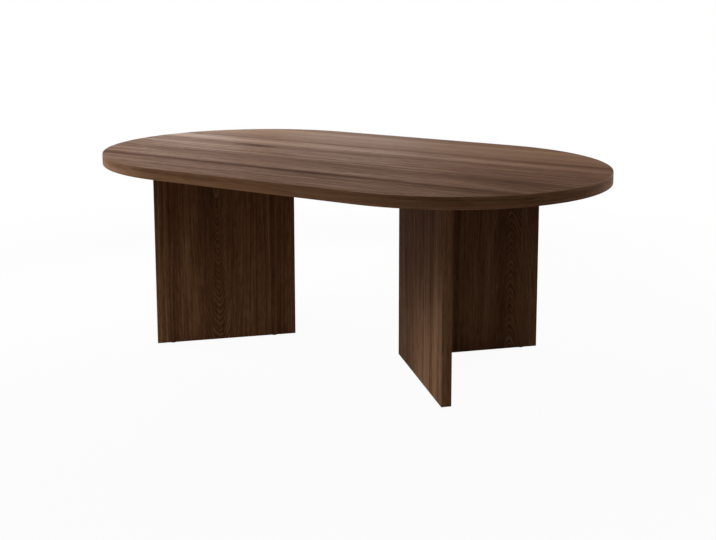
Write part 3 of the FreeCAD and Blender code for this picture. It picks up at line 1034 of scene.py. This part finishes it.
class ModelScrews(bpy.types.Operator):
    """Model the pan-head wood screws that hold the brackets to the panels"""

    bl_idname = "coffee_table.screws"
    bl_label = "Bracket screws"

    HEIGHT = 2.6 * MM
    CROWN = 1.1 * MM
    RECESS = 1.05 * MM
    WING = 1.55 * MM
    DEPTH = 1.7 * MM
    ROOT = 1.35 * MM
    CREST = 2 * MM
    POINT = 4 * MM

    def execute(self, context):
        look = context.scene.fittings
        screw = turned_head(look.screw_head / 2, self.HEIGHT, self.CROWN, 6)
        bpy.ops.object.mode_set(mode="OBJECT")
        combine(screw, self.cross(), "DIFFERENCE")
        under = -self.HEIGHT - look.screw_length
        stem = thread(self.ROOT, self.CREST, look.screw_pitch, OVERLAP - self.HEIGHT, under + self.POINT)
        # The point narrows slowly, then fast.
        carry_on(-self.POINT * 0.6, 0.62, under + self.POINT * 0.4)
        carry_on(-self.POINT * 0.4, 0.1, under)
        bpy.ops.object.mode_set(mode="OBJECT")
        combine(screw, stem, "UNION")
        place_copies(screw, "bracket_screw", from_panel, zinc_plated_steel())
        return {"FINISHED"}

    def cross(self):
        """Models the tool that cuts the cross recess, narrower at its foot."""
        tool = start(bpy.ops.mesh.primitive_cube_add, size=1)
        bpy.ops.object.mode_set(mode="EDIT")
        block = (self.RECESS, self.RECESS, 2 * self.DEPTH)
        bpy.ops.transform.resize(value=block, center_override=(0, 0, 0))
        pick(tool, "faces", lambda face: abs(face.normal.z) < 0.5)
        bpy.ops.mesh.extrude_faces_move(TRANSFORM_OT_shrink_fatten={"value": self.WING})
        pick(tool, "verts", lambda vert: vert.co.z < 0)
        bpy.ops.transform.resize(value=(0.5, 0.5, 1), center_override=(0, 0, -self.DEPTH))
        bpy.ops.mesh.select_all(action="SELECT")
        bpy.ops.mesh.normals_make_consistent(inside=False)
        bpy.ops.object.mode_set(mode="OBJECT")
        return tool


class ModelBolts(bpy.types.Operator):
    """Model the button-head bolts that hold the brackets up to the top"""

    bl_idname = "coffee_table.bolts"
    bl_label = "Top bolts"

    HEIGHT = 3.3 * MM
    CROWN = 1.6 * MM
    SOCKET = 4 * MM  # across its flats
    SOCKET_DEPTH = 2.1 * MM
    DRILL_POINT = 0.7 * MM
    ROOT = 2.45 * MM
    CREST = 3 * MM
    CHAMFER = 0.6 * MM

    def execute(self, context):
        look = context.scene.fittings
        bolt = turned_head(look.bolt_head / 2, self.HEIGHT, self.CROWN, 8)
        bpy.ops.object.mode_set(mode="OBJECT")
        socket = start(
            bpy.ops.mesh.primitive_cylinder_add,
            vertices=6,
            radius=self.SOCKET / math.sqrt(3),
            depth=2 * self.SOCKET_DEPTH,
        )
        bpy.ops.object.mode_set(mode="EDIT")
        pick(socket, "faces", lambda face: face.normal.z < -0.9)
        carry_on(-self.DRILL_POINT, 0.25, -self.SOCKET_DEPTH - self.DRILL_POINT)
        bpy.ops.object.mode_set(mode="OBJECT")
        combine(bolt, socket, "DIFFERENCE")
        end = -self.HEIGHT - look.bolt_length
        stem = thread(self.ROOT, self.CREST, look.bolt_pitch, OVERLAP - self.HEIGHT, end + self.CHAMFER)
        carry_on(-self.CHAMFER, 0.82, end)
        bpy.ops.object.mode_set(mode="OBJECT")
        combine(bolt, stem, "UNION")
        place_copies(bolt, "top_bolt", downwards, zinc_plated_steel())
        return {"FINISHED"}


class ModelWashers(bpy.types.Operator):
    """Model the pressed washers under the bolt heads"""

    bl_idname = "coffee_table.washers"
    bl_label = "Washers"

    RADIUS = 9 * MM
    BORE = 3.2 * MM
    THICKNESS = 1.6 * MM
    ROLLED_EDGE = 0.3 * MM

    def execute(self, context):
        washer = start(
            bpy.ops.mesh.primitive_circle_add,
            vertices=64,
            radius=self.RADIUS,
            location=(0, 0, -self.THICKNESS),
        )
        bpy.ops.object.mode_set(mode="EDIT")
        bpy.ops.mesh.select_all(action="SELECT")
        bpy.ops.mesh.extrude_edges_move()
        shrink = self.BORE / self.RADIUS
        bpy.ops.transform.resize(value=(shrink, shrink, 1), center_override=(0, 0, -self.THICKNESS))
        bpy.ops.mesh.select_all(action="SELECT")
        bpy.ops.mesh.extrude_region_move(TRANSFORM_OT_translate={"value": (0, 0, self.THICKNESS)})
        bpy.ops.mesh.select_all(action="SELECT")
        bpy.ops.mesh.normals_make_consistent(inside=False)
        # The punch leaves a rolled edge on the outer face.
        pick(washer, "edges", lambda edge: on_height(0)(edge) and edge.calc_face_angle(0) > 1)
        bpy.ops.mesh.bevel(offset=self.ROLLED_EDGE, segments=3, profile=0.5)
        bpy.ops.object.mode_set(mode="OBJECT")
        place_copies(washer, "washer", downwards, zinc_plated_steel())
        return {"FINISHED"}


class ModelInserts(bpy.types.Operator):
    """Model the threaded inserts in the underside of the top"""

    bl_idname = "coffee_table.inserts"
    bl_label = "Inserts"

    LENGTH = 13 * MM
    ROOT = 4.15 * MM
    CREST = 5 * MM
    BORE = 3.05 * MM
    DRIVE = 3.75 * MM  # from the middle of the hexagon to a corner
    DRIVE_DEPTH = 4 * MM

    def execute(self, context):
        pitch = context.scene.fittings.insert_pitch
        insert = thread(self.ROOT, self.CREST, pitch, 0, -self.LENGTH)
        bpy.ops.object.mode_set(mode="OBJECT")
        bore = start(
            bpy.ops.mesh.primitive_cylinder_add,
            vertices=ROUND,
            radius=self.BORE,
            depth=2 * self.LENGTH,
            location=(0, 0, -self.LENGTH / 2),
        )
        drive = start(
            bpy.ops.mesh.primitive_cylinder_add, vertices=6, radius=self.DRIVE, depth=2 * self.DRIVE_DEPTH
        )
        combine(bore, drive, "UNION")
        combine(insert, bore, "DIFFERENCE")
        place_copies(insert, "insert", downwards, die_cast_zinc())
        return {"FINISHED"}


class ModelGlides(bpy.types.Operator):
    """Model the push-in glides under the panels"""

    bl_idname = "coffee_table.glides"
    bl_label = "Glides"

    RADIUS = 7 * MM
    HEIGHT = 2 * MM
    EDGE = 0.7 * MM
    STEM = 2.5 * MM
    STEM_LENGTH = 14 * MM
    TIP = 2 * MM
    BARB = 1.18  # times as wide as the stem

    def execute(self, context):
        glide = turned_head(self.RADIUS, self.HEIGHT, self.EDGE, 5)
        pick(glide, "faces", on_height(-self.HEIGHT))
        bpy.ops.mesh.inset(thickness=self.RADIUS - self.STEM)
        ribs = context.scene.fittings.glide_ribs
        rise = (self.STEM_LENGTH - self.TIP) / ribs
        height = -self.HEIGHT
        # Each barb is a plain stretch of stem, a step outwards and a long slope back in.
        for _ in range(ribs):
            for share, size in ((0.3, 1.0), (0.1, self.BARB), (0.6, 1 / self.BARB)):
                height -= share * rise
                carry_on(-share * rise, size, height)
        carry_on(-self.TIP, 0.6, height - self.TIP)
        bpy.ops.object.mode_set(mode="OBJECT")
        place_copies(glide, "glide", downwards, moulded_nylon())
        return {"FINISHED"}


class SetStage(bpy.types.Operator):
    """Set up the pale floor, the soft light and the camera"""

    bl_idname = "coffee_table.stage"
    bl_label = "Studio stage"

    FLOOR_SIZE = 60
    # Place and side of each soft box. All of them are turned towards the table's middle.
    SOFT_BOXES = {
        "key": ((-0.9, -1.0, 1.3), 0.4),
        "side": ((-1.1, -0.35, 0.6), 0.3),
        "sheen": ((-0.9, 0.5, 0.54), 0.4),
        "back": ((-0.45, 0.75, 0.55), 0.4),
        "middle": ((-0.2, 0.9, 0.7), 0.5),
        "rear": ((0.9, 1.1, 0.9), 0.7),
        "fill": ((1.2, -1.4, 2.2), 0.8),
    }
    TABLE_MIDDLE = Vector((0, 0, 0.35))
    CAMERA_PLACE = (1.1709, -1.8134, 0.7311)
    CAMERA_DIP = 8.11  # degrees below level
    CAMERA_TURN = 31.42  # degrees to the left
    CAMERA_SHIFT = (-0.0183, -0.175)
    SENSOR_WIDTH = 36
    # Share of plain white in the paper under the table, as the camera and as the table's sheen see it,
    # and the distances between which the paper turns all white.
    WHITE_SEEN = 0.95
    WHITE_MIRRORED = 0.6
    WHITE_FROM = 0.6
    WHITE_TO = 1.9

    def execute(self, context):
        stage = context.scene.studio_stage
        bpy.ops.object.select_all(action="DESELECT")
        bpy.ops.mesh.primitive_plane_add(size=self.FLOOR_SIZE, location=(0, 0, 0))
        floor = context.active_object
        floor.name = "studio_floor"
        floor.data.materials.append(self.floor_material(stage))
        self.world(context.scene, stage)
        for name, (place, side) in self.SOFT_BOXES.items():
            self.lamp(f"{name}_soft_box", place, side, getattr(stage, f"{name}_power"))
        bpy.ops.object.camera_add(
            location=self.CAMERA_PLACE,
            rotation=(math.radians(90 - self.CAMERA_DIP), 0, math.radians(self.CAMERA_TURN)),
        )
        camera = context.active_object
        camera.data.lens = stage.lens
        camera.data.sensor_width = self.SENSOR_WIDTH
        camera.data.shift_x, camera.data.shift_y = self.CAMERA_SHIFT
        context.scene.camera = camera
        context.scene.view_settings.view_transform = "Standard"
        return {"FINISHED"}

    def lamp(self, name, place, side, power):
        """Adds a square soft box that the camera does not see."""
        direction = self.TABLE_MIDDLE - Vector(place)
        bpy.ops.object.light_add(
            type="AREA", location=place, rotation=direction.to_track_quat("-Z", "Y").to_euler()
        )
        lamp = bpy.context.active_object
        lamp.name = name
        lamp.data.energy = power
        lamp.data.size = side
        lamp.visible_camera = False

    def seen(self, tree):
        """Gives 1 for what is seen straight, mirrored or through glass, and 0 for bounced light."""
        path = add(tree, "ShaderNodeLightPath")
        seen = add(
            tree,
            "ShaderNodeMath",
            {0: path.outputs["Is Camera Ray"], 1: path.outputs["Is Glossy Ray"]},
            operation="ADD",
        )
        return add(
            tree,
            "ShaderNodeMath",
            {0: seen, 1: path.outputs["Is Transmission Ray"]},
            operation="ADD",
            use_clamp=True,
        )

    def floor_material(self, stage):
        """Seamless paper: an even white that keeps the table's soft shadow."""
        material, tree, spot = blank_material("seamless_paper")
        material.cycles.emission_sampling = "NONE"
        seen = self.seen(tree)
        fibre = add(tree, "ShaderNodeTexNoise", {"Vector": spot, "Scale": 1 / (4 * MM), "Detail": 2.0})
        relief = add(tree, "ShaderNodeBump", {"Height": fibre, "Strength": 0.05, "Distance": 0.1 * MM})
        paper = add(
            tree,
            "ShaderNodeBsdfPrincipled",
            {
                "Base Color": (*stage.floor, 1),
                "Roughness": 0.9,
                "Specular IOR Level": 0.0,
                "Normal": relief,
            },
        )
        glow = add(tree, "ShaderNodeEmission", {"Color": (1, 1, 1, 1), "Strength": 1.0})
        reach = add(tree, "ShaderNodeVectorMath", {0: spot}, operation="LENGTH")
        # The camera sees the paper near white all over, with the shadow faint on it. The table's sheen
        # mirrors less white from close by, where the table shades the paper.
        path = add(tree, "ShaderNodeLightPath")
        nearest = add(
            tree,
            "ShaderNodeMath",
            {0: path.outputs["Is Camera Ray"], 1: self.WHITE_SEEN},
            operation="MULTIPLY",
        )
        nearest = add(
            tree,
            "ShaderNodeMath",
            {0: path.outputs["Is Glossy Ray"], 1: self.WHITE_MIRRORED, 2: nearest},
            operation="MULTIPLY_ADD",
        )
        even = add(
            tree,
            "ShaderNodeMapRange",
            {
                "Value": reach.outputs["Value"],
                "From Min": self.WHITE_FROM,
                "From Max": self.WHITE_TO,
                "To Min": nearest,
                "To Max": 1.0,
            },
            interpolation_type="SMOOTHSTEP",
        )
        share = add(tree, "ShaderNodeMath", {0: seen, 1: even}, operation="MULTIPLY")
        mixed = add(tree, "ShaderNodeMixShader", {0: share, 1: paper, 2: glow})
        add(tree, "ShaderNodeOutputMaterial", {"Surface": mixed})
        return material

    def world(self, scene, stage):
        """Sets the white that the camera sees all round and the faint even light that it gives."""
        world = bpy.data.worlds.new("studio_world")
        world.use_nodes = True
        scene.world = world
        # The white behind is for the camera alone and does not light the table.
        world.cycles.sampling_method = "NONE"
        tree = world.node_tree
        tree.nodes.clear()
        strength = add(
            tree,
            "ShaderNodeMapRange",
            {"Value": self.seen(tree), "To Min": stage.ambient, "To Max": 1.0},
        )
        sky = add(tree, "ShaderNodeBackground", {"Color": (1, 1, 1, 1), "Strength": strength})
        add(tree, "ShaderNodeOutputWorld", {"Surface": sky})


class CoffeeTablePanel(bpy.types.Panel):
    """Lists the steps that finish the coffee table"""

    bl_idname = "VIEW3D_PT_coffee_table"
    bl_label = "Coffee table"
    bl_space_type = "VIEW_3D"
    bl_region_type = "UI"
    bl_category = "Coffee table"

    def draw(self, context):
        layout = self.layout
        for name in GROUPS:
            group = getattr(context.scene, name)
            for setting in group.__annotations__:
                layout.prop(group, setting)
        for step in STEPS:
            layout.operator(step.bl_idname)


GROUPS = {"walnut_veneer": WalnutVeneer, "fittings": Fittings, "studio_stage": StudioStage}
STEPS = (
    FinishTabletop,
    FinishPanels,
    FinishBoards,
    FinishBrackets,
    ModelScrews,
    ModelBolts,
    ModelWashers,
    ModelInserts,
    ModelGlides,
    SetStage,
)


def register():
    """Registers the settings, the steps and the panel."""
    for name, group in GROUPS.items():
        bpy.utils.register_class(group)
        setattr(bpy.types.Scene, name, PointerProperty(type=group))
    for step in STEPS:
        bpy.utils.register_class(step)
    bpy.utils.register_class(CoffeeTablePanel)


def unregister():
    """Takes the panel, the steps and the settings away again."""
    bpy.utils.unregister_class(CoffeeTablePanel)
    for step in reversed(STEPS):
        bpy.utils.unregister_class(step)
    for name, group in reversed(GROUPS.items()):
        delattr(bpy.types.Scene, name)
        bpy.utils.unregister_class(group)


def main():
    """Finishes the table step by step."""
    register()
    bpy.ops.coffee_table.tabletop()
    bpy.ops.coffee_table.panels()
    bpy.ops.coffee_table.boards()
    bpy.ops.coffee_table.brackets()
    bpy.ops.coffee_table.screws()
    bpy.ops.coffee_table.bolts()
    bpy.ops.coffee_table.washers()
    bpy.ops.coffee_table.inserts()
    bpy.ops.coffee_table.glides()
    bpy.ops.coffee_table.stage()


if __name__ == "__main__":
    main()
